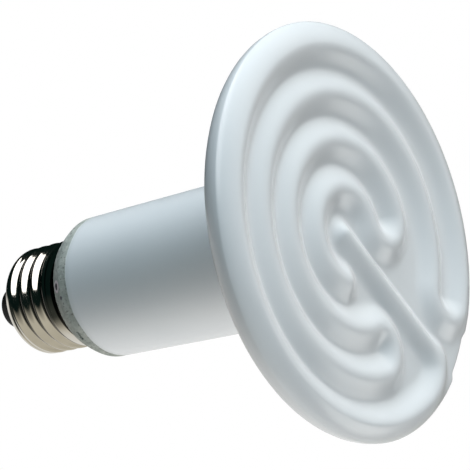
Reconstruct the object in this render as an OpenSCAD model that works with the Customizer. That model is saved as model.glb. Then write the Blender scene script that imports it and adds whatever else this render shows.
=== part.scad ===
// Ceramic heat emitter: a glazed ceramic radiator disc with one continuous
// serpentine ridge on its face, a hollow stem, and an Edison screw cap.
// It stands face down on the ridge crests at z = 0 and +Z runs along the stem
// towards the cap. Millimetres.

/* [Disc] */
// Diameter of the radiating disc
disc_d = 92; // [92:0.5:96]
// Height of the disc's widest line above the ridge crests
widest_z = 3.05; // [2.65:0.05:3.45]
// How far the rounded back edge turns in, radially
back_in = 5.5; // [3:0.5:6]
// How deep the rounded back edge is, along the axis
back_deep = 6.5; // [5:0.5:8]
// Radius of the cove between the disc's back and the stem
cove_r = 7; // [4:0.5:9]

/* [Serpentine ridge] */
// Height of the ridge above the flat face between its turns
ridge_h = 2.05; // [1.6:0.05:2.3]
// Half of the ridge's width where it meets the face
ridge_hw = 4.25; // [3.75:0.05:4.3]
// Radii of the four concentric runs of the ridge, rim run first
run_r = [41.4, 30.85, 20.5, 10.25]; // [10:0.05:41.5]
// Sideways shift of the second, third and fourth runs' centres
run_dx = [0, -1.75, -3.4, -4.45]; // [-5:0.05:0]
// Shift of the same centres towards the lower turn
run_dy = [0, -0.25, -0.45, -0.55]; // [-1:0.05:0]
// Angles of the three U-turns: right, lower and inner
turn_a = [-23.1, -80.6, 13.8]; // [-90:0.1:20]
// Angle at which the innermost run ends
inner_end_a = -104.8; // [-115:0.1:-95]
// Angle at which the straight run meets the rim run
joint_a = -48.2; // [-55:0.1:-45]
// Inner end of the straight run, across and up the face
straight_start = [-5.1, -0.3]; // [-6:0.1:0]

/* [Coil] */
// Outside diameter of the wound resistance coil
coil_d = 3.4; // [3:0.1:3.6]
// Depth of the coil's centre line behind the ridge crests
coil_z = 4.4; // [4:0.1:4.8]
// Diameter of the lead wires
lead_d = 0.9; // [0.6:0.1:1.1]

/* [Stem] */
// Diameter of the stem at the disc
stem_d1 = 34.8; // [34.4:0.1:36]
// Diameter of the stem where its bevel starts
stem_d2 = 34.0; // [33.6:0.1:34.4]
// Height at which the bevel starts
bevel_z = 74.6; // [73:0.1:75.5]
// Height of the foot, the bare end of the ceramic under the cap
foot_z = 78.4; // [78:0.1:78.5]
// Diameter of the foot's edge
foot_d = 30.0; // [29:0.1:31]
// Radius of the hollow inside the stem
hollow_r = 12.4; // [11:0.1:12.8]
// Height of the hollow's closed end above the crests
hollow_z = 12.5; // [12:0.5:16]

/* [Cap] */
// Height of the screw shell's rim
rim_z = 78.7; // [78.6:0.1:79]
// Radius over the thread crests
thread_r = 13.2; // [13.05:0.05:13.2]
// Radius in the thread roots
root_r = 12.2; // [12.15:0.05:12.3]
// Pitch of the thread
pitch = 3.629; // [3.6:0.001:3.65]
// Height of the first full thread crest
first_crest_z = 87.55; // [87.3:0.05:87.8]
// Wall thickness of the shell
shell_t = 0.35; // [0.3:0.05:0.4]
// Radius with which the shell's end turns in
end_r = 2.9; // [2.5:0.1:3]
// Height of the centre contact's tip
tip_z = 107.3; // [106.9:0.1:107.6]

/* [Hidden] */
disc_r = disc_d / 2;
neck_r = 11.0;                  // neck that the cap is cemented on
neck_top = rim_z + 10;
neck_bore = 7.2;
flat_r = disc_r - 1.5;          // flat face between the ridges ends here
notch_a = -44;                  // slit in the foot's bevel and way of the shell lead
crest_n = 3;                    // full thread crests
land = 0.5;                     // cylindrical land on each crest
last_z = first_crest_z + (crest_n - 1) * pitch + land / 2;
shell_end_z = last_z + end_r;
ins_top = tip_z - 0.8;          // top of the black insulator
sleeve_d = 3;

// centre of run k in face coordinates
function cen(k) = [run_dx[k], run_dy[k]];
function u(a) = [cos(a), sin(a)];
// U-turn between run a and the next smaller run b, leaving run a at angle t:
// radius of the small arc that touches both runs
function turn_rad(a, t) =
  let (d = cen(a) - cen(a + 1), e = d * u(t), ra = run_r[a], rb = run_r[a + 1])
  (d * d + 2 * ra * e + ra * ra - rb * rb) / (2 * (ra + rb + e));
function turn_cen(a, t) = cen(a) + (run_r[a] - turn_rad(a, t)) * u(t);
// angle at which the small arc meets run a + 1
function turn_b(a, t) =
  let (v = turn_cen(a, t) - cen(a + 1)) atan2(v.y, v.x);
t0 = turn_a[0]; t1 = turn_a[1]; t2 = turn_a[2];
t0b = turn_b(0, t0);
// the lower turn leaves run 1 at t1 and meets run 2
t1b = turn_b(1, t1);
t2b = turn_b(2, t2);
joint = cen(0) + run_r[0] * u(joint_a);
inner_end = cen(3) + run_r[3] * u(inner_end_a);
run_dir = atan2(joint.y - straight_start.y, joint.x - straight_start.x);

// ---- one swept path, used for the ridge and for the coil inside it ----
// children(0) is the section: x across the run, y out of the face
module arc_run(c, r, a0, a1, n)
  translate([c.x, c.y, 0]) rotate([0, 0, a0])
    rotate_extrude(angle = a1 - a0, $fn = n) translate([r, 0]) children();

module straight_run(p, q)
  translate([p.x, p.y, 0]) rotate([0, 0, atan2(q.y - p.y, q.x - p.x)])
    rotate([90, 0, 90]) linear_extrude(norm(q - p)) children();

// the four long runs
module long_runs() {
  arc_run(cen(0), run_r[0], t0, joint_a + 360, 60) children();
  arc_run(cen(1), run_r[1], t0b, t1 + 360, 52) children();
  arc_run(cen(2), run_r[2], t2, t1b + 360, 44) children();
  arc_run(cen(3), run_r[3], t2b, inner_end_a + 360, 36) children();
}
// the three U-turns, each reaching a little way into the runs it joins
module u_turns() {
  arc_run(turn_cen(0, t0), turn_rad(0, t0), t0b - 181, t0 + 1, 28) children();
  arc_run(turn_cen(1, t1), turn_rad(1, t1), t1 - 1, t1b + 181, 28) children();
  arc_run(turn_cen(2, t2), turn_rad(2, t2), t2b - 181, t2 + 1, 28) children();
}

// right half of the ridge's section, from its crest down into the disc;
// less shrinks it all round
function half_hump(less) =
  [[0.14 * ridge_hw, -less], [0.47 * ridge_hw - less, -0.25 * ridge_h - less],
   [0.75 * ridge_hw - less, -0.57 * ridge_h - less], [ridge_hw - less, -0.9 * ridge_h - less],
   [ridge_hw - less, -ridge_h - 0.9 + less]];
module hump(less = 0)
  polygon(concat(half_hump(less),
    [for (i = [4:-1:0]) [-half_hump(less)[i].x, half_hump(less)[i].y]]));

// rounded end of a run
module run_end(p, less)
  translate([p.x, p.y, 0]) rotate_extrude($fn = 36)
    polygon(concat([[0, -less]], half_hump(less), [[0, -ridge_h - 0.9 + less]]));

module ridge() {
  long_runs() hump();
  u_turns() hump(0.04);
  straight_run(straight_start, joint) hump(0.1);
  run_end(straight_start, 0.14);
  run_end(joint, 0.05);
  run_end(inner_end, 0.05);
}

// swept channel or coil of radius r
module coil_path(r) {
  translate([0, 0, -coil_z]) {
    long_runs() circle(r = r, $fn = 8);
    u_turns() circle(r = r - 0.04, $fn = 8);
    straight_run(straight_start, joint) circle(r = r - 0.1, $fn = 8);
    translate([joint.x, joint.y, -r * 0.9]) cylinder(r = r * 0.9, h = r * 1.8, $fn = 24);
  }
}

// face coordinates (seen from the front, Z out of the face) into the part
module on_face() rotate([0, 180, 0]) children();
// the same for a point
function at_face(p) = [-p.x, p.y];
start_xy = at_face(straight_start);
end_xy = at_face(inner_end);

// ---- ceramic body ----
module outer_profile()
  polygon(concat(
    [[0, ridge_h], [flat_r, ridge_h]],
    [for (t = [30:30:60]) [flat_r + 1.5 * sin(t), ridge_h + (widest_z - ridge_h) * (1 - cos(t))]],
    [for (t = [0:18:90]) [disc_r - back_in + back_in * cos(t),
                         widest_z + back_deep * sin(t)]],
    [for (t = [-92:-22:-180]) [stem_d1 / 2 + cove_r + cove_r * cos(t),
                         widest_z + back_deep + 1.2 + cove_r + cove_r * sin(t)]],
    [[stem_d2 / 2, bevel_z]],
    // slightly rounded bevel down to the foot's edge
    [for (t = [0.25:0.25:1]) [stem_d2 / 2 - (stem_d2 - foot_d) / 2 * pow(t, 1.22),
                              bevel_z + (foot_z - bevel_z) * t]],
    [[neck_r, foot_z], [neck_r, neck_top - 0.6], [neck_r - 0.6, neck_top],
     [0, neck_top]]));

module hollow_profile()
  polygon(concat(
    [[0, hollow_z]],
    [for (t = [-80:20:0]) [hollow_r - 3 + 3 * cos(t), hollow_z + 3 + 3 * sin(t)]],
    [[hollow_r, foot_z - 11],
     [neck_bore, foot_z - 2], [neck_bore, neck_top + 1], [0, neck_top + 1]]));

module ceramic_body() {
  color([0.86, 0.89, 0.91])
  difference() {
    union() {
      rotate_extrude($fn = 72) outer_profile();
      on_face() ridge();
    }
    rotate_extrude($fn = 48) hollow_profile();
    on_face() coil_path(coil_d / 2 + 0.05);
    // holes for the two leads, from the coil's ends into the hollow
    translate([start_xy.x, start_xy.y, coil_z]) cylinder(d = lead_d + 0.3, h = 12, $fn = 24);
    translate([end_xy.x, end_xy.y, coil_z])
      cylinder(d = lead_d + 0.3, h = s0.z - coil_z, $fn = 24);
    bead(s0, lead_d + 0.3);
    wire(s0, s1, lead_d + 0.3);
    // the shell lead leaves the neck through a hole
    rotate([0, 0, notch_a]) translate([0, 0, rim_z + 2.5]) rotate([0, 90, 0])
      cylinder(d = 1.6, h = 14, $fn = 24);
    // slit where the bevel starts
    rotate([0, 0, notch_a - 2]) rotate_extrude(angle = 7, $fn = 96)
      translate([stem_d2 / 2 - 0.9, bevel_z - 0.2]) square([2, 0.45]);
  }
}

// ---- coil and leads ----
module heating_coil()
  color([0.45, 0.43, 0.42]) on_face() coil_path(coil_d / 2);

module wire(p, q, d)
  let (v = q - p, l = norm(v))
  translate(p) rotate([0, acos(v.z / l), atan2(v.y, v.x)])
    cylinder(d = d, h = l, $fn = 20);

module bead(p, d) translate(p) sphere(d = d, $fn = 20);

lead_from = coil_z + coil_d / 2 + 0.02;
bend1 = [start_xy.x, start_xy.y, 66];
bend2 = [0, 0, rim_z - 1.5];
module contact_lead()
  color([0.6, 0.6, 0.6]) {
    wire([start_xy.x, start_xy.y, lead_from], bend1, lead_d);
    bead(bend1, lead_d + 0.14);
    wire(bend1, bend2, lead_d);
    bead(bend2, lead_d + 0.14);
    wire(bend2, [0, 0, tip_z - 0.65], lead_d);
  }

// the coil's inner end lies under the stem's wall, so this lead slants inward
s0 = [end_xy.x, end_xy.y, lead_from + 1.5];
s1 = [end_xy.x * 0.7, end_xy.y * 0.7, hollow_z + 4];
s1b = [end_xy.x * 0.44, end_xy.y * 0.44, foot_z - 12];
s2 = [6.0 * cos(notch_a), 6.0 * sin(notch_a), rim_z + 2.5];
s3 = [12.0 * cos(notch_a), 12.0 * sin(notch_a), rim_z + 2.5];
s4 = [12.0 * cos(notch_a), 12.0 * sin(notch_a), rim_z + 0.1];
module shell_lead()
  color([0.6, 0.6, 0.6]) {
    wire([end_xy.x, end_xy.y, lead_from], s0, lead_d);
    bead(s0, lead_d + 0.14);
    wire(s0, s1, lead_d);
    bead(s1, lead_d + 0.14);
    wire(s1, s1b, lead_d);
    bead(s1b, lead_d + 0.14);
    wire(s1b, s2, lead_d);
    bead(s2, lead_d + 0.14);
    wire(s2, s3, lead_d);
    bead(s3, lead_d + 0.14);
    wire(s3, s4, lead_d);
  }

// sleeve that keeps the centre lead off the shell lead
module lead_sleeve()
  color([0.9, 0.88, 0.8])
  difference() {
    translate([0, 0, rim_z - 0.6]) cylinder(d = sleeve_d, h = 20, $fn = 32);
    translate([0, 0, rim_z - 1.6]) cylinder(d = lead_d + 0.1, h = 22, $fn = 32);
  }

// cement between the neck and the shell
module cap_cement()
  color([0.72, 0.71, 0.66])
  difference() {
    translate([0, 0, rim_z + 0.6]) cylinder(r = root_r - shell_t - 0.08, h = neck_top - rim_z - 1.4, $fn = 96);
    translate([0, 0, rim_z]) cylinder(r = neck_r + 0.02, h = 14, $fn = 96);
    // room for the shell lead
    rotate([0, 0, notch_a]) translate([0, -lead_d / 2 - 0.05, rim_z])
      cube([14, lead_d + 0.1, 2.5 + lead_d / 2 + 0.05]);
  }

// ---- cap ----
// thread contour: rolled crests with narrow lands, rounded roots
function wave(z, off) =
  let (p = (z - first_crest_z) / pitch, f = p - floor(p),
       d = min(f, 1 - f) * pitch, w = pitch / 2 - land / 2,
       x = max(0, d - land / 2) / w)
  thread_r - off - (thread_r - root_r) * (1 - cos(180 * x)) / 2;
half_w = pitch / 2 - land / 2;
skirt_z = first_crest_z - pitch + land / 2;      // the plain skirt ends here
function wave_pts(off) = concat(
  [for (i = [2:5]) let (z = skirt_z + half_w * i / 6) [wave(z, off), z]],
  [for (k = [0:crest_n - 1])
    let (zc = first_crest_z + k * pitch)
    each concat(
      [for (i = [0:5]) let (z = zc - pitch / 2 + half_w * i / 6) [wave(z, off), z]],
      [[thread_r - off, zc - land / 2], [thread_r - off, zc + land / 2]],
      k < crest_n - 1
        ? [for (i = [1:5]) let (z = zc + land / 2 + half_w * i / 6) [wave(z, off), z]]
        : [])]);
function rev(a) = [for (i = [len(a) - 1:-1:0]) a[i]];
function shell_end(off) =
  [for (t = [15:15:90]) [thread_r - end_r + (end_r - off) * cos(t),
                         last_z + (end_r - off) * sin(t)]];

module screw_shell()
  color([0.72, 0.72, 0.7])
  rotate_extrude($fn = 96)
    polygon(concat(
      [[thread_r - 0.02, rim_z], [thread_r - 0.02, rim_z + 0.4],
       [thread_r - 0.08, rim_z + 0.8], [thread_r - 0.08, skirt_z]],
      wave_pts(0), shell_end(0),
      [[8.5, shell_end_z], [8.5, shell_end_z - shell_t]],
      rev(shell_end(shell_t)), rev(wave_pts(shell_t)),
      [[thread_r - 0.08 - shell_t, skirt_z], [thread_r - 0.08 - shell_t, rim_z + 0.7],
       [thread_r - 0.02 - shell_t, rim_z + 0.3], [thread_r - 0.02 - shell_t, rim_z]]));

// black insulator: fills the shell's end and tapers to the contact
module cap_insulator()
  color([0.03, 0.03, 0.035])
  rotate_extrude($fn = 72)
    polygon([[2.2, shell_end_z - 3.4], [10.0, shell_end_z - 3.4],
       [10.0, shell_end_z - shell_t - 0.04], [8.45, shell_end_z - shell_t - 0.04],
       [8.45, shell_end_z + 0.1], [8.2, shell_end_z + 0.9], [7.6, shell_end_z + 2.3],
       [6.7, shell_end_z + 4.3], [5.9, shell_end_z + 6.3], [5.3, ins_top - 0.7],
       [5.1, ins_top - 0.15], [4.9, ins_top], [2.2, ins_top]]);

// centre contact: a dished disc with a hole for the lead
module centre_contact()
  color([0.75, 0.7, 0.55])
  rotate_extrude($fn = 72)
    polygon([[0.75, tip_z - 0.9], [1.9, tip_z - 0.9], [2.15, tip_z - 2.6],
             [2.15, ins_top + 0.02], [4.35, ins_top + 0.02],
             [4.35, tip_z - 0.6], [4.1, tip_z - 0.45], [3.3, tip_z - 0.35],
             [0.75, tip_z - 0.35]]);

module contact_solder()
  color([0.66, 0.66, 0.68])
  rotate_extrude($fn = 48)
    polygon([[0, tip_z - 0.63], [0.73, tip_z - 0.63], [0.73, tip_z - 0.33],
             [2.0, tip_z - 0.33], [1.9, tip_z - 0.2], [1.5, tip_z - 0.07],
             [0.8, tip_z - 0.01], [0, tip_z]]);

// tack that joins the shell lead to the inside of the shell's rim
module shell_solder()
  color([0.66, 0.66, 0.68])
  rotate([0, 0, notch_a - 6]) rotate_extrude(angle = 12, $fn = 96)
    translate([12.0 + lead_d / 2 + 0.02, rim_z + 0.15])
      square([thread_r - shell_t - 12.13 - lead_d / 2, 0.8]);

ceramic_body();
heating_coil();
contact_lead();
shell_lead();
lead_sleeve();
cap_cement();
screw_shell();
cap_insulator();
centre_contact();
contact_solder();
shell_solder();
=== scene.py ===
import bpy, bmesh, math
import numpy as np
from mathutils import Matrix, Vector


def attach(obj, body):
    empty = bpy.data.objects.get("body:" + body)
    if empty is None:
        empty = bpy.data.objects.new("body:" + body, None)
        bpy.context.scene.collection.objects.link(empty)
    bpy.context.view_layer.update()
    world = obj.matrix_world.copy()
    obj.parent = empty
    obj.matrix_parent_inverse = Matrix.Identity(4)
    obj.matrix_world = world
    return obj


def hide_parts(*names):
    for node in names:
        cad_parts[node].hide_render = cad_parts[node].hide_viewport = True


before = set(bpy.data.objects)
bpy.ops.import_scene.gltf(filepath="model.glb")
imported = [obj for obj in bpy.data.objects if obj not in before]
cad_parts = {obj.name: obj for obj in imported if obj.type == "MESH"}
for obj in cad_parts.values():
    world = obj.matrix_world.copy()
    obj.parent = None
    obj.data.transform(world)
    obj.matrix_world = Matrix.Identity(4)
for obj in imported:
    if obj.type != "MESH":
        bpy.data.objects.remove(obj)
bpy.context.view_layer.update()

MM = 0.001
scene = bpy.context.scene

# ---------------------------------------------------------------- view
# Pose of the emitter before the camera: focal length in pixels of a 470 pixel
# frame, two angles of the stem's axis, and the disc's centre in disc radii.
F_PX = 1750.0
AZ, EL = 2.90425, 0.64908
DISC_R = 46.0
WIDEST = 3.05
CEN = np.array([0.54770, -0.02480, 8.17200]) * DISC_R
a_c = np.array([math.cos(EL) * math.cos(AZ), math.cos(EL) * math.sin(AZ), math.sin(EL)])
v_c = np.array([0.0, -1.0, 0.0]); v_c = v_c - a_c * (a_c @ v_c); v_c /= np.linalg.norm(v_c)
u_c = np.cross(-v_c, a_c)
# rows: the part's X, Y, Z axes seen from the camera (x right, y down, z forward)
AX = np.array([-u_c, v_c, a_c])
E_RIGHT, E_UP, E_BACK = AX[:, 0], -AX[:, 1], -AX[:, 2]
cam_pos = (AX @ (-CEN) + np.array([0, 0, WIDEST])) * MM
TARGET = np.array([0.0, 0.0, 0.045])


def cdir(r, u, b):
    """direction given as right, up and towards the camera"""
    d = E_RIGHT * r + E_UP * u + E_BACK * b
    return d / np.linalg.norm(d)


cam_data = bpy.data.cameras.new("view_camera")
cam_data.sensor_fit = "HORIZONTAL"
cam_data.sensor_width = 36.0
cam_data.lens = F_PX / 470.0 * 36.0
cam_data.clip_start, cam_data.clip_end = 0.01, 50.0
cam = bpy.data.objects.new("view_camera", cam_data)
scene.collection.objects.link(cam)
m = Matrix.Identity(4)
for i, e in enumerate((E_RIGHT, E_UP, E_BACK)):
    for j in range(3):
        m[j][i] = e[j]
for j in range(3):
    m[j][3] = cam_pos[j]
cam.matrix_world = m
scene.camera = cam
scene.view_settings.view_transform = "Standard"
scene.view_settings.look = "None"


# ---------------------------------------------------------------- mesh help
def make_object(name, verts, faces, mats=(), face_mat=None, smooth=True):
    me = bpy.data.meshes.new(name)
    me.from_pydata([tuple(p) for p in verts], [], [tuple(f) for f in faces])
    me.validate()
    bm = bmesh.new(); bm.from_mesh(me)
    bmesh.ops.remove_doubles(bm, verts=bm.verts, dist=1e-7)
    if bm.calc_volume(signed=True) < 0:
        bmesh.ops.reverse_faces(bm, faces=bm.faces)
    bm.to_mesh(me); bm.free()
    if smooth:
        me.polygons.foreach_set("use_smooth", [True] * len(me.polygons))
    for mt in mats:
        me.materials.append(mt)
    ob = bpy.data.objects.new(name, me)
    scene.collection.objects.link(ob)
    return ob


class Skin:
    """closed skin built ring by ring; neighbouring rings may halve or double their count"""

    def __init__(self):
        self.v, self.f, self.last = [], [], None

    def start(self, p):
        self.v.append(p); self.last = [len(self.v) - 1]

    def ring(self, pts):
        base = len(self.v)
        self.v.extend(pts)
        cur = list(range(base, base + len(pts)))
        la, n = self.last, len(pts)
        if la is not None:
            if len(la) == 1:
                for i in range(n):
                    self.f.append((la[0], cur[i], cur[(i + 1) % n]))
            elif len(la) == n:
                for i in range(n):
                    j = (i + 1) % n
                    self.f.append((la[i], cur[i], cur[j], la[j]))
            elif n == 2 * len(la):
                k = len(la)
                for i in range(k):
                    j = (i + 1) % k
                    self.f.append((la[i], cur[2 * i], cur[2 * i + 1]))
                    self.f.append((la[i], cur[2 * i + 1], la[j]))
                    self.f.append((la[j], cur[2 * i + 1], cur[(2 * i + 2) % n]))
            elif 2 * n == len(la):
                for i in range(n):
                    j = (i + 1) % n
                    self.f.append((la[2 * i], cur[i], la[2 * i + 1]))
                    self.f.append((la[2 * i + 1], cur[i], cur[j]))
                    self.f.append((la[2 * i + 1], cur[j], la[(2 * i + 2) % len(la)]))
            else:
                raise ValueError("ring counts")
        self.last = cur

    def end(self, p):
        self.v.append(p); k = len(self.v) - 1
        la = self.last
        for i in range(len(la)):
            self.f.append((la[i], k, la[(i + 1) % len(la)]))
        self.last = None

    def close_to(self, ring0):
        """joins the last ring back to a first one, for a tube-like skin"""
        la, n = self.last, len(ring0)
        for i in range(n):
            j = (i + 1) % n
            self.f.append((la[i], ring0[i], ring0[j], la[j]))


# ---------------------------------------------------------------- ridge path
# Centre lines of the serpentine in face coordinates (seen from the front,
# X right, Y up), in disc radii. The four long runs are arcs, joined by three
# U-turns; a straight run crosses from the middle to the rim run.
R0 = 0.9000
RUN = [(-0.0180, -0.0207, 0.9000), (-0.0559, -0.0264, 0.6710),
       (-0.0922, -0.0302, 0.4455), (-0.1150, -0.0329, 0.2231)]
T_JOINT, T_BEND, T_RIGHT, T_LOWER, T_INNER, T_END = -50.0, -65.0, -23.1, -80.6, 13.8, -104.8
START = (-0.1299, -0.0273)
RIDGE_H, RIDGE_W, RIDGE_G = 0.0490, 0.1347, 1.13
CREST_Z, EDGE_K, BACK_K = 0.0663, 1.42, 0.1284


def pol(c, r, t):
    return c[0] + r * math.cos(math.radians(t)), c[1] + r * math.sin(math.radians(t))


def arc_d(x, y, cx, cy, r, a0, a1):
    dx, dy = x - cx, y - cy
    ang = np.degrees(np.arctan2(dy, dx))
    rel = np.mod(ang - a0, 360.0)
    on = rel <= (a1 - a0)
    d = np.abs(np.hypot(dx, dy) - r)
    e = np.minimum(np.hypot(x - pol((cx, cy), r, a0)[0], y - pol((cx, cy), r, a0)[1]),
                   np.hypot(x - pol((cx, cy), r, a1)[0], y - pol((cx, cy), r, a1)[1]))
    return np.where(on, d, e)


def seg_d(x, y, ax, ay, bx, by):
    vx, vy = bx - ax, by - ay
    t = np.clip(((x - ax) * vx + (y - ay) * vy) / (vx * vx + vy * vy), 0, 1)
    return np.hypot(x - ax - t * vx, y - ay - t * vy)


def uturn(ka, kb, t, s):
    pa, pb = pol(RUN[ka], RUN[ka][2], t), pol(RUN[kb], RUN[kb][2], t)
    mid = ((pa[0] + pb[0]) / 2, (pa[1] + pb[1]) / 2)
    rr = math.hypot(pa[0] - pb[0], pa[1] - pb[1]) / 2
    ang = math.degrees(math.atan2(pa[1] - pb[1], pa[0] - pb[0]))
    return mid, rr, (ang if s > 0 else ang - 180)


def corner_path():
    """the rim run's end bends in to meet the straight run"""
    a, b = pol(RUN[0], RUN[0][2], T_BEND), pol(RUN[0], 0.905, -55.0)
    c = pol(RUN[0], 0.812, T_JOINT)
    t = np.linspace(0, 1, 9)
    return [((1 - k) ** 2 * a[0] + 2 * k * (1 - k) * b[0] + k * k * c[0],
             (1 - k) ** 2 * a[1] + 2 * k * (1 - k) * b[1] + k * k * c[1]) for k in t]


def path_dist(x, y):
    bend = corner_path()
    D = [arc_d(x, y, *RUN[0], T_RIGHT, T_BEND + 360),
         arc_d(x, y, *RUN[1], T_RIGHT, T_LOWER + 360),
         arc_d(x, y, *RUN[2], T_INNER, T_LOWER + 360),
         arc_d(x, y, *RUN[3], T_INNER, T_END + 360)]
    for ka, kb, t, s in ((0, 1, T_RIGHT, -1), (1, 2, T_LOWER, 1), (2, 3, T_INNER, -1)):
        mid, rr, a0 = uturn(ka, kb, t, s)
        D.append(arc_d(x, y, mid[0], mid[1], rr, a0, a0 + 180))
    rim = np.minimum.reduce([D[0]] + [seg_d(x, y, *bend[i], *bend[i + 1]) for i in range(8)])
    D.append(rim)
    # the straight run is narrower, and fillets into the rim run
    st = seg_d(x, y, *START, *bend[-1]) / 0.74
    k = 0.06
    h = np.maximum(k - np.abs(st - rim), 0) / k
    D.append(np.maximum(np.minimum(st, rim) - h * h * k * 0.25, 0))
    return np.minimum.reduce(D)


def crest_radius(th):
    """distance from the disc's centre to the rim run's crest, along angle th"""
    cx, cy, r = RUN[0]
    b = cx * np.cos(th) + cy * np.sin(th)
    return b + np.sqrt(b * b - (cx * cx + cy * cy) + r * r)


def edge_radius(th):
    """the disc's edge, with its shallow dip between the right turn and where the straight run meets the rim run"""
    a = (np.degrees(th) + 180.0) % 360.0 - 180.0
    up = np.clip((a + 49.5) / 2.5, 0, 1); dn = np.clip((-31.0 - a) / 4.0, 0, 1)
    return 1.0 - 0.023 * (up * up * (3 - 2 * up)) * (dn * dn * (3 - 2 * dn))


def bump(d):
    return np.power(0.5 + 0.5 * np.cos(np.pi * np.clip(d / RIDGE_W, 0, 1)), RIDGE_G)


FLOOR_Z = CREST_Z - RIDGE_H


def face_height(x, y):
    """height of the face above the disc's widest plane, in disc radii"""
    rm = np.hypot(x, y)
    th = np.arctan2(y, x)
    rc = crest_radius(th)
    d = path_dist(x, y)
    inner = FLOOR_Z + RIDGE_H * bump(d)
    t = np.clip((rm - rc) / np.maximum(edge_radius(th) - rc, 1e-6), 0, 1)
    rim = CREST_Z * np.power(np.clip(1 - t ** EDGE_K, 0, 1), 1 / EDGE_K)
    lip = FLOOR_Z * np.power(np.clip(1 - t ** 4, 0, 1), 0.25)
    e = np.sqrt(np.maximum(d * d - (rm - rc) ** 2, 0))
    out = lip + (rim - lip) * bump(e)
    return np.where(rm > rc, out, inner)


# the grooves and ends are softened a little, as glaze does
GN = 1041
GS = 1.04
gx = np.linspace(-GS, GS, GN)
gdx = gx[1] - gx[0]
GX, GY = np.meshgrid(gx, gx)
grid = face_height(np.clip(GX, -1.2, 1.2), np.clip(GY, -1.2, 1.2))


def blur(a, sigma):
    k = int(math.ceil(3 * sigma / gdx))
    w = np.exp(-0.5 * (np.arange(-k, k + 1) * gdx / sigma) ** 2); w /= w.sum()
    p = np.pad(a, k, mode="edge")
    p = sum(w[i] * p[i:i + a.shape[0], :] for i in range(2 * k + 1))
    return sum(w[i] * p[:, i:i + a.shape[1]] for i in range(2 * k + 1))


grid = blur(grid, 0.0058)


def grid_at(x, y):
    fx, fy = (x + GS) / gdx, (y + GS) / gdx
    i, j = np.clip(np.floor(fx).astype(int), 0, GN - 2), np.clip(np.floor(fy).astype(int), 0, GN - 2)
    tx, ty = fx - i, fy - j
    return ((grid[j, i] * (1 - tx) + grid[j, i + 1] * tx) * (1 - ty)
            + (grid[j + 1, i] * (1 - tx) + grid[j + 1, i + 1] * tx) * ty)


def smooth(a, b, x):
    t = np.clip((x - a) / (b - a), 0, 1)
    return t * t * (3 - 2 * t)


# ---------------------------------------------------------------- ceramic body
BEVEL_Z, FOOT_Z, FOOT_R = 74.6, 78.4, 15.0
GLAZE_END = 72.4
sk = Skin()


def face_point(x, y, h):
    return (-x * DISC_R * MM, y * DISC_R * MM, max((CREST_Z - h) * WIDEST / CREST_Z, 0.0) * MM)


def face_ring(n, s=None, phi=None):
    th = np.arange(n) * 2 * np.pi / n
    rc = crest_radius(th)
    if phi is None:
        r = rc * s
        x, y = r * np.cos(th), r * np.sin(th)
        h = grid_at(x, y)
    else:
        ed = edge_radius(th)
        r = rc + (ed - rc) * np.sin(phi) ** (2 / EDGE_K)
        x, y = r * np.cos(th), r * np.sin(th)
        t = (r - rc) / (ed - rc)
        # exact edge profile, blended into the softened face near the crest
        d = path_dist(x, y)
        e = np.sqrt(np.maximum(d * d - (r - rc) ** 2, 0))
        rim = CREST_Z * np.cos(phi) ** (2 / EDGE_K)
        lip = FLOOR_Z * np.power(np.clip(1 - t ** 4, 0, 1), 0.25)
        ex = lip + (rim - lip) * bump(e)
        k = smooth(0.12, 0.45, t)
        h = grid_at(x, y) * (1 - k) + ex * k
    return [face_point(x[i], y[i], h[i]) for i in range(n)]


sk.start(face_point(0.0, 0.0, float(grid_at(np.array([0.0]), np.array([0.0]))[0])))
s = 0.010
while s < 0.27:
    sk.ring(face_ring(180, s=s)); s += 0.0085
while s < 0.56:
    sk.ring(face_ring(360, s=s)); s += 0.0082
n_out = int(round((1.0 - s) / 0.0092))
for i in range(n_out):
    sk.ring(face_ring(720, s=s + (1.0 - s) * i / n_out))
for i in range(15):
    sk.ring(face_ring(720, phi=(i / 14.0) * math.pi / 2))


def round_ring(n, r, z, dent=None):
    th = np.arange(n) * 2 * np.pi / n
    # same direction as the face rings, whose x is mirrored into the part
    x, y = -r * np.cos(th), r * np.sin(th)
    if r > 38:
        k = 1 - (1 - edge_radius(th)) * (1 - (z - WIDEST) / 7.0)
        x, y = x * k, y * k
    if dent is not None:
        k = dent(np.degrees(np.arctan2(y, x)), z)
        x, y = x * (1 - k / r), y * (1 - k / r)
    return [(x[i] * MM, y[i] * MM, z * MM) for i in range(n)]


def slit(a, z):
    """small slit dented into the bare band"""
    w = smooth(4.6, 3.4, np.abs(a + 42.5)) * smooth(0.42, 0.22, abs(z - 74.65))
    return 0.9 * w


# rounded back edge, back and cove
bk = BACK_K * DISC_R
first = True
for t in np.linspace(0, 90, 10)[1:]:
    a = math.radians(t)
    sk.ring(round_ring(360, DISC_R - bk * (1 - math.cos(a)), WIDEST + bk * math.sin(a)))
z_back = WIDEST + bk
for r, z in ((37.2, 9.15), (33.6, 9.45), (30.2, 9.85)):
    sk.ring(round_ring(360, r, z))
cove = 6.6
for t in np.linspace(0, 90, 10):
    a = math.radians(t)
    sk.ring(round_ring(360, 17.4 + cove * (1 - math.sin(a)) + 0.0, 10.6 + cove * (1 - math.cos(a))))
for z in np.linspace(20, 71.5, 14):
    sk.ring(round_ring(360, 17.4 - 0.4 * (z - 17.2) / (BEVEL_Z - 17.2), z))
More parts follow.
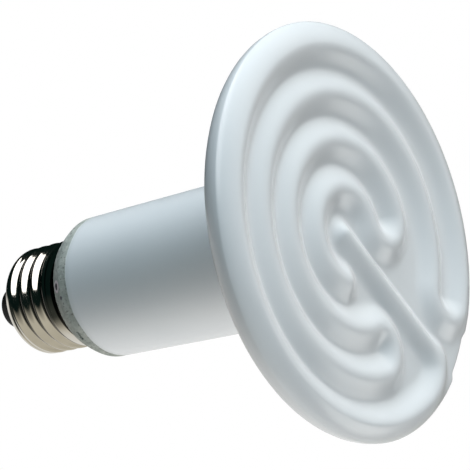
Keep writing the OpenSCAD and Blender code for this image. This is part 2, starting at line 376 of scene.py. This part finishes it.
# bare end band, bevel and foot
zz = list(np.linspace(72.0, 73.9, 4)) + list(np.linspace(74.15, 75.15, 9)) + list(np.linspace(75.4, 78.2, 7))
for z in zz:
    t = max(0.0, (z - BEVEL_Z) / (FOOT_Z - BEVEL_Z))
    r = 17.4 - 0.4 * (min(z, BEVEL_Z) - 17.2) / (BEVEL_Z - 17.2) - 2.0 * t ** 1.22
    sk.ring(round_ring(720, r, z, slit))
for r, z in ((14.98, 78.3), (14.85, 78.38), (14.7, 78.4)):
    sk.ring(round_ring(720, r, z))
for r, z in ((14.0, 78.39), (13.5, 78.3), (13.4, 78.0), (13.3, 77.7), (11.2, 77.7), (11.02, 77.9), (11.0, 79.2), (11.0, 88.1), (10.8, 88.6), (10.4, 88.7)):
    sk.ring(round_ring(360, r, z))
for r, z in ((7.6, 88.7), (7.2, 88.3), (7.2, 76.4), (12.4, 67.4), (12.4, 40.0), (12.4, 16.0), (11.6, 13.6), (9.4, 12.5)):
    sk.ring(round_ring(180, r, z))
sk.end((0.0, 0.0, 12.5 * MM))
body = make_object("glazed_body", sk.v, sk.f)

# ---------------------------------------------------------------- screw shell
PITCH, TH_R, RT_R = 3.629, 13.2, 12.22
CREST1, RIM_Z, END_R = 87.55, 78.7, 2.9
LAST_Z = CREST1 + 2 * PITCH + 0.25
SH_T = 0.35


def thread_r(z, th_deg):
    zc = CREST1 + PITCH * th_deg / 360.0
    c = 0.5 - 0.5 * np.cos(2 * np.pi * (z - zc) / PITCH)
    c = c ** 0.92
    env = smooth(82.9, 84.7, z) * (1 - smooth(94.1, 95.7, z))
    return TH_R - (TH_R - RT_R) * c * env


def end_curve(z):
    """radius that the turned-in end allows at height z"""
    q = np.clip((z - LAST_Z) / END_R, 0, 1)
    return TH_R - END_R * (1 - np.sqrt(1 - q * q))


NS = 288
th_s = np.arange(NS) * 2 * np.pi / NS
th_deg = np.degrees((th_s + np.pi) % (2 * np.pi) - np.pi)


def shell_ring(r, z):
    r = np.broadcast_to(r, (NS,)); z = np.broadcast_to(z, (NS,))
    return [(r[i] * math.cos(th_s[i]) * MM, r[i] * math.sin(th_s[i]) * MM, z[i] * MM) for i in range(NS)]


sh = Skin()
rim_pts = [(12.36, 78.84), (12.40, 78.74), (12.52, 78.70), (12.64, 78.74), (12.70, 78.9), (12.76, 79.3),
           (12.84, 79.8), (12.95, 80.15), (13.05, 80.42), (13.1, 80.75)]
for r, z in rim_pts:
    sh.ring(shell_ring(r, z))
ring0 = list(range(NS))
for z in list(np.linspace(81.1, 82.6, 4)):
    sh.ring(shell_ring(13.1, z))
for z in np.linspace(82.9, LAST_Z, 74):
    r = thread_r(z, th_deg) - 0.1 * (1 - smooth(83.4, 85.2, z))
    sh.ring(shell_ring(r, z))
for t in np.linspace(0, 90, 16)[1:]:
    a = math.radians(t)
    z = LAST_Z + END_R * math.sin(a)
    r = TH_R - END_R * (1 - math.cos(a)) - (TH_R - thread_r(min(z, 97.0), th_deg)) * math.cos(a)
    sh.ring(shell_ring(r, z))
for r, z in ((9.4, 97.96), (8.75, 97.93), (8.55, 97.86), (8.5, 97.76), (8.52, 97.66), (8.7, 97.61)):
    sh.ring(shell_ring(r, z))
for t in np.linspace(90, 0, 8):
    a = math.radians(t)
    z = LAST_Z + (END_R - SH_T) * math.sin(a)
    sh.ring(shell_ring(TH_R - END_R + (END_R - SH_T) * math.cos(a) - (TH_R - thread_r(z, th_deg)) * math.cos(a), z))
for z in np.linspace(LAST_Z - 0.5, 83.2, 30):
    sh.ring(shell_ring(thread_r(z, th_deg) - SH_T - 0.1 * (1 - smooth(83.4, 85.2, z)), z))
for r, z in ((12.75, 82.4), (12.7, 80.6), (12.4, 79.6)):
    sh.ring(shell_ring(r, z))
sh.close_to(ring0)
shell = make_object("threaded_shell", sh.v, sh.f)


# ---------------------------------------------------------------- cap end
def revolve(name, prof, n, wobble=None):
    """closed ring-shaped or solid turned piece from an (r, z) outline in millimetres"""
    s_ = Skin()
    if prof[0][0] == 0:
        s_.start((0, 0, prof[0][1] * MM)); prof = prof[1:]
        solid = True
    else:
        solid = False
    base = len(s_.v)
    tail = prof[-1] if prof[-1][0] == 0 else None
    for r, z in (prof[:-1] if tail else prof):
        th = np.arange(n) * 2 * np.pi / n
        s_.ring([(r * math.cos(t) * MM, r * math.sin(t) * MM, z * MM) for t in th])
    if tail:
        s_.end((0, 0, tail[1] * MM))
    else:
        s_.close_to(list(range(base, base + n)))
    return make_object(name, s_.v, s_.f)


def rounded(pts, rad=0.25, k=4):
    """rounds the inner corners of an open (r, z) outline"""
    out = [pts[0]]
    for i in range(1, len(pts) - 1):
        p0, p, p1 = (np.array(q, float) for q in (pts[i - 1], pts[i], pts[i + 1]))
        l0, l1 = np.linalg.norm(p0 - p), np.linalg.norm(p1 - p)
        d = min(rad, 0.45 * l0, 0.45 * l1)
        a, b = p + (p0 - p) / l0 * d, p + (p1 - p) / l1 * d
        for j in range(k + 1):
            t = j / k
            out.append(tuple((1 - t) ** 2 * a + 2 * t * (1 - t) * p + t * t * b))
    out.append(pts[-1])
    return out


E = LAST_Z + END_R
TIP = 107.3
INS = TIP - 0.8
insulator = revolve("black_insulator", rounded(
    [(2.2, E - 3.0), (2.2, E - 3.4), (10.0, E - 3.4), (10.0, E - 0.42), (8.42, E - 0.42), (8.42, E + 0.15),
     (8.2, E + 0.9), (7.6, E + 2.3), (6.7, E + 4.3), (5.95, E + 6.3), (5.3, INS - 0.7), (4.95, INS), (2.2, INS), (2.2, E - 2.6)], 0.7, 5), 128)
contact = revolve("centre_button", rounded(
    [(0.75, TIP - 0.8), (0.75, TIP - 0.95), (1.9, TIP - 0.95), (2.15, TIP - 2.6), (2.17, INS + 0.03), (4.33, INS + 0.03),
     (4.35, TIP - 0.62), (4.1, TIP - 0.46), (3.5, TIP - 0.36), (2.9, TIP - 0.42), (2.3, TIP - 0.34), (0.75, TIP - 0.36), (0.75, TIP - 0.7)],
    0.3, 4), 96)

# solder: an uneven cooled blob over the lead's end
sb = Skin()
sb.start((0, 0, (TIP - 0.62) * MM))
NB = 64
for r, z in ((0.5, -0.62), (0.72, -0.6), (0.73, -0.4), (0.9, -0.33), (1.5, -0.34), (1.95, -0.33), (2.0, -0.28), (1.93, -0.2),
             (1.7, -0.11), (1.35, -0.05), (0.9, -0.015), (0.4, -0.001)):
    th = np.arange(NB) * 2 * np.pi / NB
    k = smooth(0.9, 1.9, r) * 0.12
    rr_ = r * (1 - k + k * np.cos(2 * th + 0.7) * 0.6 + k * np.sin(3 * th) * 0.4)
    sb.ring([(rr_[i] * math.cos(th[i]) * MM, rr_[i] * math.sin(th[i]) * MM, (TIP + z) * MM) for i in range(NB)])
sb.end((0, 0, TIP * MM))
solder = make_object("contact_solder_blob", sb.v, sb.f)


# ---------------------------------------------------------------- materials
def new_mat(name):
    mt = bpy.data.materials.new(name)
    mt.use_nodes = True
    nt = mt.node_tree
    b = nt.nodes.get("Principled BSDF")
    return mt, nt, b


def node(nt, kind, **kw):
    n = nt.nodes.new(kind)
    for k, v in kw.items():
        setattr(n, k, v)
    return n


def noise(nt, vec, scale, detail=4.0, rough=0.55, dist=0.0):
    n = node(nt, "ShaderNodeTexNoise")
    n.inputs["Scale"].default_value = scale
    n.inputs["Detail"].default_value = detail
    n.inputs["Roughness"].default_value = rough
    n.inputs["Distortion"].default_value = dist
    nt.links.new(vec, n.inputs["Vector"])
    return n.outputs["Fac"]


def ramp(nt, fac, stops):
    n = node(nt, "ShaderNodeValToRGB")
    el = n.color_ramp.elements
    while len(el) > 1:
        el.remove(el[-1])
    el[0].position, el[0].color = stops[0][0], (*stops[0][1], 1)
    for p, c in stops[1:]:
        e_ = el.new(p); e_.color = (*c, 1)
    nt.links.new(fac, n.inputs["Fac"])
    return n.outputs["Color"]


def maprange(nt, val, a, b, c, d, smoothstep=False):
    n = node(nt, "ShaderNodeMapRange")
    if smoothstep:
        n.interpolation_type = "SMOOTHSTEP"
    for i, x in zip((1, 2, 3, 4), (a, b, c, d)):
        n.inputs[i].default_value = x
    nt.links.new(val, n.inputs[0])
    return n.outputs[0]


def mix_rgb(nt, fac, a, b):
    n = node(nt, "ShaderNodeMix", data_type="RGBA")
    if isinstance(fac, float):
        n.inputs[0].default_value = fac
    else:
        nt.links.new(fac, n.inputs[0])
    for k, x in ((6, a), (7, b)):
        if isinstance(x, tuple):
            n.inputs[k].default_value = (*x, 1)
        else:
            nt.links.new(x, n.inputs[k])
    return n.outputs[2]


def math_n(nt, op, a, b=None, clamp=False):
    n = node(nt, "ShaderNodeMath", operation=op, use_clamp=clamp)
    for i, x in enumerate((a, b)):
        if x is None:
            continue
        if isinstance(x, (int, float)):
            n.inputs[i].default_value = x
        else:
            nt.links.new(x, n.inputs[i])
    return n.outputs[0]


def bump_n(nt, height, strength, dist, prev=None):
    n = node(nt, "ShaderNodeBump")
    n.inputs["Strength"].default_value = strength
    n.inputs["Distance"].default_value = dist
    nt.links.new(height, n.inputs["Height"])
    if prev is not None:
        nt.links.new(prev, n.inputs["Normal"])
    return n.outputs["Normal"]


# glaze, with the bare ceramic of the foot above the glaze line
glaze, nt, bs = new_mat("white_glaze")
tc = node(nt, "ShaderNodeTexCoord").outputs["Object"]
sep = node(nt, "ShaderNodeSeparateXYZ"); nt.links.new(tc, sep.inputs[0])
zco = sep.outputs["Z"]
cloud = noise(nt, tc, 28.0, 3.0, 0.5)
fine = noise(nt, tc, 900.0, 3.0, 0.6)
mid = noise(nt, tc, 190.0, 4.0, 0.55)
g_col = ramp(nt, cloud, [(0.30, (0.775, 0.800, 0.815)), (0.55, (0.800, 0.822, 0.835)), (0.75, (0.815, 0.830, 0.838))])
# rare pin-point specks under the glaze
vor = node(nt, "ShaderNodeTexVoronoi"); vor.inputs["Scale"].default_value = 52.0
nt.links.new(tc, vor.inputs["Vector"])
speck = maprange(nt, vor.outputs["Distance"], 0.025, 0.045, 1.0, 0.0)
rare = maprange(nt, noise(nt, tc, 23.0, 1.0), 0.66, 0.70, 0.0, 1.0)
speck = math_n(nt, "MULTIPLY", speck, rare)
g_col = mix_rgb(nt, math_n(nt, "MULTIPLY", speck, 0.7), g_col, (0.20, 0.17, 0.14))
# bare band: rough, grey, speckled
b_col = ramp(nt, noise(nt, tc, 420.0, 5.0, 0.7), [(0.30, (0.27, 0.295, 0.27)), (0.5, (0.39, 0.415, 0.38)), (0.68, (0.52, 0.535, 0.49))])
b_col = mix_rgb(nt, maprange(nt, noise(nt, tc, 1300.0, 2.0, 0.6), 0.58, 0.68, 0.0, 0.75), b_col, (0.13, 0.13, 0.12))
wav = noise(nt, tc, 140.0, 2.0, 0.5)
zed = math_n(nt, "ADD", zco, maprange(nt, wav, 0.3, 0.7, -0.00012, 0.00012))
bare = maprange(nt, zed, (GLAZE_END - 0.12) * MM, (GLAZE_END + 0.22) * MM, 0.0, 1.0, True)
# the glaze thins towards its edge
thin = maprange(nt, zed, (GLAZE_END - 1.6) * MM, GLAZE_END * MM, 0.0, 1.0, True)
g_col = mix_rgb(nt, math_n(nt, "MULTIPLY", thin, 0.35), g_col, (0.60, 0.63, 0.62))
# iron specks in the bare band
def spot(th, r, z, rad):
    p = (r * math.cos(math.radians(th)) * MM, r * math.sin(math.radians(th)) * MM, z * MM)
    n = node(nt, "ShaderNodeVectorMath", operation="DISTANCE")
    nt.links.new(tc, n.inputs[0]); n.inputs[1].default_value = p
    wob = math_n(nt, "ADD", n.outputs["Value"], maprange(nt, noise(nt, tc, 700.0, 1.0), 0.3, 0.7, -0.00010, 0.00010))
    return wob
s1 = spot(2, 16.35, 76.5, 1.0)
ring1 = math_n(nt, "MULTIPLY", maprange(nt, s1, 0.0008, 0.00105, 0.0, 1.0, True), maprange(nt, s1, 0.0014, 0.0017, 1.0, 0.0, True))
core1 = maprange(nt, s1, 0.0007, 0.00095, 1.0, 0.0, True)
core2 = maprange(nt, spot(-8, 16.9, 74.9, 1.0), 0.0003, 0.00055, 1.0, 0.0, True)
b_col = mix_rgb(nt, math_n(nt, "MULTIPLY", ring1, 0.85), b_col, (0.78, 0.66, 0.69))
b_col = mix_rgb(nt, core1, b_col, (0.060, 0.050, 0.060))
b_col = mix_rgb(nt, math_n(nt, "MULTIPLY", core2, 0.9), b_col, (0.11, 0.10, 0.12))
# painted shade: the slit's inside is coloured near-black for the shadow in it
ssep = node(nt, "ShaderNodeSeparateXYZ"); nt.links.new(tc, ssep.inputs[0])
ang = math_n(nt, "ARCTAN2", ssep.outputs["Y"], ssep.outputs["X"])
s_a = math_n(nt, "ABSOLUTE", math_n(nt, "SUBTRACT", ang, math.radians(-42.5)))
s_z = math_n(nt, "ABSOLUTE", math_n(nt, "SUBTRACT", ssep.outputs["Z"], 74.65 * MM))
slit_shade = math_n(nt, "MULTIPLY", maprange(nt, s_a, math.radians(2.9), math.radians(3.6), 1.0, 0.0, True),
             maprange(nt, s_z, 0.00022, 0.00036, 1.0, 0.0, True))
b_col = mix_rgb(nt, math_n(nt, "MULTIPLY", slit_shade, 0.93), b_col, (0.02, 0.022, 0.022))
nt.links.new(mix_rgb(nt, math_n(nt, "MAXIMUM", bare, slit_shade), g_col, b_col), bs.inputs["Base Color"])
rg = maprange(nt, mid, 0.3, 0.7, 0.20, 0.27)
nm = node(nt, "ShaderNodeMix"); nt.links.new(bare, nm.inputs[0]); nt.links.new(rg, nm.inputs[2]); nm.inputs[3].default_value = 0.85
nt.links.new(nm.outputs[0], bs.inputs["Roughness"])
bs.inputs["IOR"].default_value = 1.52
h1 = bump_n(nt, cloud, 0.25, 0.0004)
h2 = bump_n(nt, mid, 0.10, 0.00012, h1)
hb = math_n(nt, "MULTIPLY", fine, bare)
h3 = bump_n(nt, hb, 0.9, 0.00022, h2)
nt.links.new(h3, bs.inputs["Normal"])
body.data.materials.append(glaze)

# bright nickel plate
nick, nt, bs = new_mat("nickel_plate")
tc = node(nt, "ShaderNodeTexCoord").outputs["Object"]
bs.inputs["Metallic"].default_value = 1.0
cn = noise(nt, tc, 160.0, 3.0, 0.6)
col = ramp(nt, cn, [(0.3, (0.70, 0.665, 0.60)), (0.6, (0.76, 0.725, 0.66)), (0.8, (0.79, 0.76, 0.70))])
# painted shade: a near-black band where the skirt sits on the ceramic, standing in for the shadow in the gap and the
# dark foot the skirt reflects; it reaches higher on the side that faces the camera
GAP_SHADE_DIR = np.array(E_BACK[:2]) / np.linalg.norm(np.array(E_BACK[:2]))
sep = node(nt, "ShaderNodeSeparateXYZ"); nt.links.new(tc, sep.inputs[0])
lean = math_n(nt, "ADD", math_n(nt, "MULTIPLY", sep.outputs["X"], GAP_SHADE_DIR[0]), math_n(nt, "MULTIPLY", sep.outputs["Y"], GAP_SHADE_DIR[1]))
lean = math_n(nt, "MULTIPLY", math_n(nt, "MAXIMUM", lean, 0.0), 2.2 / 13.0)
gap_shade = maprange(nt, math_n(nt, "SUBTRACT", sep.outputs["Z"], lean), 79.10 * MM, 79.32 * MM, 1.0, 0.0, True)
# painted shade: the flanks that face the cap's end are darkened, up to the last crest, for the shade in the thread's
# grooves
nsep = node(nt, "ShaderNodeSeparateXYZ"); nt.links.new(node(nt, "ShaderNodeTexCoord").outputs["Normal"], nsep.inputs[0])
painted_flank_shade = math_n(nt, "MULTIPLY", maprange(nt, nsep.outputs["Z"], -0.01, 0.12, 0.0, 0.88, True),
               maprange(nt, sep.outputs["Z"], 92.6 * MM, 93.2 * MM, 1.0, 0.0, True))
col = mix_rgb(nt, painted_flank_shade, col, (0.035, 0.033, 0.030))
# painted shade: the gap band under the skirt's rim is coloured near-black
col = mix_rgb(nt, math_n(nt, "MULTIPLY", gap_shade, 0.97), col, (0.012, 0.012, 0.011))
nt.links.new(col, bs.inputs["Base Color"])
# fine drawn lines round the shell
mp = node(nt, "ShaderNodeMapping"); mp.inputs["Scale"].default_value = (30, 30, 2600)
nt.links.new(tc, mp.inputs["Vector"])
ln = noise(nt, mp.outputs["Vector"], 1.0, 3.0, 0.6)
nt.links.new(maprange(nt, math_n(nt, "MULTIPLY", ln, cn), 0.12, 0.42, 0.07, 0.15), bs.inputs["Roughness"])
nt.links.new(bump_n(nt, ln, 0.12, 0.00002, bump_n(nt, cn, 0.12, 0.0001)), bs.inputs["Normal"])
shell.data.materials.append(nick)

# black moulded insulator
blk, nt, bs = new_mat("black_insulator")
tc = node(nt, "ShaderNodeTexCoord").outputs["Object"]
n1 = noise(nt, tc, 350.0, 4.0, 0.6)
nt.links.new(ramp(nt, n1, [(0.35, (0.0035, 0.0038, 0.0038)), (0.7, (0.007, 0.0075, 0.0075))]), bs.inputs["Base Color"])
nt.links.new(maprange(nt, n1, 0.3, 0.7, 0.30, 0.45), bs.inputs["Roughness"])
bs.inputs["Specular IOR Level"].default_value = 0.02
nt.links.new(bump_n(nt, n1, 0.2, 0.0001), bs.inputs["Normal"])
insulator.data.materials.append(blk)

# contact button
brs, nt, bs = new_mat("contact_brass")
tc = node(nt, "ShaderNodeTexCoord").outputs["Object"]
bs.inputs["Metallic"].default_value = 1.0
n1 = noise(nt, tc, 400.0, 4.0, 0.6)
nt.links.new(ramp(nt, n1, [(0.3, (0.62, 0.55, 0.42)), (0.7, (0.73, 0.66, 0.52))]), bs.inputs["Base Color"])
nt.links.new(maprange(nt, n1, 0.3, 0.7, 0.16, 0.32), bs.inputs["Roughness"])
nt.links.new(bump_n(nt, n1, 0.15, 0.0001), bs.inputs["Normal"])
contact.data.materials.append(brs)


def plain_metal(name, lo, hi, r0, r1, metallic=1.0, scale=600.0):
    mt, nt, bs = new_mat(name)
    tc = node(nt, "ShaderNodeTexCoord").outputs["Object"]
    bs.inputs["Metallic"].default_value = metallic
    n1 = noise(nt, tc, scale, 4.0, 0.6)
    nt.links.new(ramp(nt, n1, [(0.3, lo), (0.7, hi)]), bs.inputs["Base Color"])
    nt.links.new(maprange(nt, n1, 0.3, 0.7, r0, r1), bs.inputs["Roughness"])
    nt.links.new(bump_n(nt, n1, 0.3, 0.0001), bs.inputs["Normal"])
    return mt


sold = plain_metal("solder", (0.52, 0.52, 0.54), (0.66, 0.66, 0.67), 0.25, 0.45)
solder.data.materials.append(sold)
wire_m = plain_metal("lead_wire", (0.50, 0.49, 0.47), (0.62, 0.61, 0.59), 0.3, 0.45)
coil_m = plain_metal("resistance_wire", (0.22, 0.20, 0.19), (0.36, 0.33, 0.31), 0.4, 0.6)
sleeve_m = plain_metal("sleeve_ceramic", (0.74, 0.71, 0.64), (0.82, 0.80, 0.74), 0.6, 0.8, 0.0)
cement_m = plain_metal("cap_cement", (0.46, 0.45, 0.41), (0.62, 0.61, 0.56), 0.8, 0.95, 0.0, 900.0)
for n_, mt in (("heating_coil", coil_m), ("contact_lead", wire_m), ("shell_lead", wire_m), ("lead_sleeve", sleeve_m),
               ("cap_cement", cement_m), ("shell_solder", sold)):
    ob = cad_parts[n_]
    if not ob.data.materials:
        ob.data.materials.append(mt)
    for i in range(len(ob.material_slots)):
        ob.material_slots[i].link = "OBJECT"
        ob.material_slots[i].material = mt

for ob, nd, sl in ((body, ("ceramic_body",), "white_glaze"), (shell, ("screw_shell",), "nickel_plate"),
                   (insulator, ("cap_insulator",), "black_insulator"), (contact, ("centre_contact",), "contact_brass"),
                   (solder, ("contact_solder",), "solder")):
    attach(ob, "root")
    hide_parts(*nd)

# ---------------------------------------------------------------- stage
# The picture looks up at the face, so the floor lies well below the part.
bm = bmesh.new()
bmesh.ops.create_grid(bm, x_segments=8, y_segments=8, size=6.0)
fl = bpy.data.meshes.new("floor"); bm.to_mesh(fl); bm.free()
floor = bpy.data.objects.new("floor", fl); floor.location = (0, 0, -0.42)
scene.collection.objects.link(floor)
fm, nt, bs = new_mat("pale_floor")
tc = node(nt, "ShaderNodeTexCoord").outputs["Object"]
nt.links.new(ramp(nt, noise(nt, tc, 3.0, 2.0), [(0.3, (0.80, 0.80, 0.79)), (0.7, (0.83, 0.83, 0.82))]), bs.inputs["Base Color"])
bs.inputs["Roughness"].default_value = 0.7
bs.inputs["Emission Color"].default_value = (0.80, 0.80, 0.79, 1)
bs.inputs["Emission Strength"].default_value = 0.72
fl.materials.append(fm)
# the part is lit from all round, also from under the floor's plane
floor.visible_shadow = False
floor.visible_diffuse = False
floor.visible_glossy = False


def area(name, d, dist, sx, sy, radiance, color=(1, 1, 1), at=TARGET):
    """elliptic soft light seen only in reflections; radiance in scene units"""
    ld = bpy.data.lights.new(name, "AREA")
    ld.shape = "ELLIPSE"; ld.size, ld.size_y = sx, sy
    ld.energy = radiance * math.pi * (math.pi * sx * sy / 4); ld.color = color
    ob = bpy.data.objects.new(name, ld)
    scene.collection.objects.link(ob)
    p = Vector(at) + Vector(d) * dist
    zax = Vector(d)
    xax = Vector(E_RIGHT) - zax * zax.dot(Vector(E_RIGHT)); xax.normalize()
    yax = zax.cross(xax)
    ob.matrix_world = Matrix(((xax[0], yax[0], zax[0], p[0]), (xax[1], yax[1], zax[1], p[1]),
                              (xax[2], yax[2], zax[2], p[2]), (0, 0, 0, 1)))
    ob.visible_camera = False
    ob.visible_diffuse = False
    return ob


def soft(name, d, angle, color):
    """broad light for matt shading only, from a far direction"""
    ld = bpy.data.lights.new(name, "SUN")
    ld.angle = math.radians(angle)
    k = max(color); ld.energy = k; ld.color = tuple(c / k for c in color)
    ob = bpy.data.objects.new(name, ld)
    scene.collection.objects.link(ob)
    ob.matrix_world = Vector(cdir(*d)).to_track_quat("Z", "Y").to_matrix().to_4x4()
    ob.visible_camera = False
    ob.visible_glossy = False
    return ob


area("softbox", cdir(-0.26, 0.87, 0.40), 0.75, 0.62, 1.22, 2.2)
SOFT = [((0, 1, 0), 60, (2.50, 2.65, 2.78)),          # overhead
        ((0.7, 0.7, 0), 60, (1.20, 1.14, 1.0)),       # high right
        ((0, 0.7, 0.7), 60, (0.42, 0.64, 0.66)),      # high front
        ((0.6, 0.6, 0.6), 60, (0.46, 0.42, 0.50)),
        ((0.04, -1, 0), 60, (2.42, 2.40, 2.36)),         # bounce from below
        ((0.6, -0.6, 0.6), 60, (0.19, 0.24, 0.26)),
        ((-0.3, 0.9, 0.2), 60, (0.23, 0.26, 0.32))]
for i, (d_, ang_, c_) in enumerate(SOFT):
    soft("soft_%d" % i, d_, ang_, c_)

# world: white behind the part; a near-black constant for what matt surfaces gather,
# dim with a warm lower half for what polished ones reflect
w = bpy.data.worlds.new("studio"); scene.world = w
w.use_nodes = True
nt = w.node_tree; nt.nodes.clear()
out = node(nt, "ShaderNodeOutputWorld")
gen = node(nt, "ShaderNodeTexCoord").outputs["Generated"]


def along(e):
    n = node(nt, "ShaderNodeVectorMath", operation="DOT_PRODUCT")
    nt.links.new(gen, n.inputs[0]); n.inputs[1].default_value = tuple(float(x) for x in e)
    return n.outputs["Value"]


bg_dif = node(nt, "ShaderNodeBackground"); bg_dif.name = "gather"
bg_dif.inputs["Color"].default_value = (0.02, 0.022, 0.024, 1)
low = maprange(nt, along(E_UP), -0.50, -0.06, 1.0, 0.0)
level = maprange(nt, math_n(nt, "ABSOLUTE", along(E_RIGHT)), 0.42, 0.80, 1.0, 0.06, True)
c1 = mix_rgb(nt, math_n(nt, "MULTIPLY", low, level), (0.003, 0.009, 0.008), (0.56, 0.535, 0.455))
# pale card low on the right, seen as thin glints along the grooves
card = maprange(nt, along(cdir(0.86, -0.48, -0.12)), 0.92, 0.985, 0.0, 1.0, True)
c1 = mix_rgb(nt, card, c1, (3.0, 3.0, 2.9))
# pale backdrop behind the cap's end
back = math_n(nt, "MULTIPLY", maprange(nt, along(cdir(-0.50, -0.28, -0.82)), 0.62, 0.80, 0.0, 1.0, True),
              maprange(nt, along(E_UP), -0.10, 0.06, 1.0, 0.0, True))
c1 = mix_rgb(nt, back, c1, (0.80, 0.80, 0.78))
bg_gl = node(nt, "ShaderNodeBackground"); bg_gl.name = "mirror"; nt.links.new(c1, bg_gl.inputs["Color"])
bg_cam = node(nt, "ShaderNodeBackground"); bg_cam.inputs["Color"].default_value = (1, 1, 1, 1)
lp = node(nt, "ShaderNodeLightPath")
m1 = node(nt, "ShaderNodeMixShader")
nt.links.new(lp.outputs["Is Glossy Ray"], m1.inputs[0])
nt.links.new(bg_dif.outputs[0], m1.inputs[1]); nt.links.new(bg_gl.outputs[0], m1.inputs[2])
m2 = node(nt, "ShaderNodeMixShader")
nt.links.new(lp.outputs["Is Camera Ray"], m2.inputs[0])
nt.links.new(m1.outputs[0], m2.inputs[1]); nt.links.new(bg_cam.outputs[0], m2.inputs[2])
nt.links.new(m2.outputs[0], out.inputs["Surface"])
